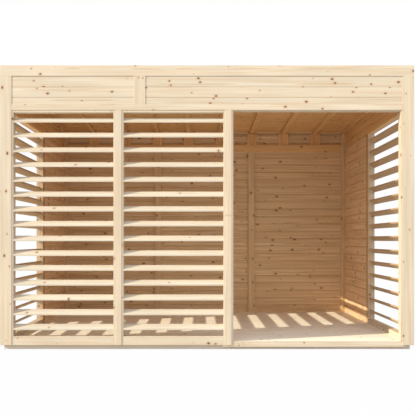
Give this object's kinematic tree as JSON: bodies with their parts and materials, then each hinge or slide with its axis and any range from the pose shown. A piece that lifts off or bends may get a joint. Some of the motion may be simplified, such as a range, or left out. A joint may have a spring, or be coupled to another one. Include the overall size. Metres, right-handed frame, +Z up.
{
  "type": "garden pavilion",
  "caption": "Flat-roofed open garden pavilion of softwood: louvred front and side bays, an open entrance bay, boarded rear walls, a plank floor and a deep boarded fascia.",
  "frame": {"origin": "on the ground, in the middle of the plan rectangle over the corner posts", "axes": "+Z up, +Y from the front to the back wall, +X to the right seen from in front, where the open bay is"},
  "size_m": [3.81, 2.6, 2.615],
  "materials": {
    "outer_timber": "planed, unpainted",
    "inner_timber": "planed, unpainted",
    "floor_timber": "planed, unpainted",
    "base_timber": "planed, unpainted",
    "membrane": "matt sheet"
  },
  "bodies": {
    "root": {"long_bearers": "base_timber", "side_bearers": "base_timber", "floor_joists": "base_timber", "floor_deck": "floor_timber", "threshold": "outer_timber", "front_left_post": "outer_timber", "front_right_post": "outer_timber", "back_left_post": "outer_timber", "back_right_post": "outer_timber", "front_post_1": "outer_timber", "front_post_2": "outer_timber", "left_middle_post": "outer_timber", "right_middle_post": "outer_timber", "front_louvre_1": "outer_timber", "front_louvre_2": "outer_timber", "left_louvre": "outer_timber", "right_louvre": "outer_timber", "opening_jambs": "outer_timber", "opening_head": "outer_timber", "left_wall_cladding": "outer_timber", "right_wall_cladding": "outer_timber", "back_wall_cladding": "outer_timber", "wall_studs": "inner_timber", "left_wall_lining": "inner_timber", "right_wall_lining": "inner_timber", "back_wall_lining": "inner_timber", "back_wall_plate": "inner_timber", "back_wall_battens": "inner_timber", "rafter_seats": "inner_timber", "ceiling_fillets": "inner_timber", "front_header": "inner_timber", "back_header": "inner_timber", "side_headers": "inner_timber", "rafters": "inner_timber", "ceiling_boards": "inner_timber", "roof_deck": "inner_timber", "roof_membrane": "membrane", "front_fascia_boards": "outer_timber", "fascia_joint_cover": "outer_timber", "side_fascia_boards": "outer_timber", "back_fascia_boards": "outer_timber", "long_top_trims": "outer_timber", "side_top_trims": "outer_timber", "long_bottom_trims": "outer_timber", "side_bottom_trims": "outer_timber"}
  },
  "joints": []
}
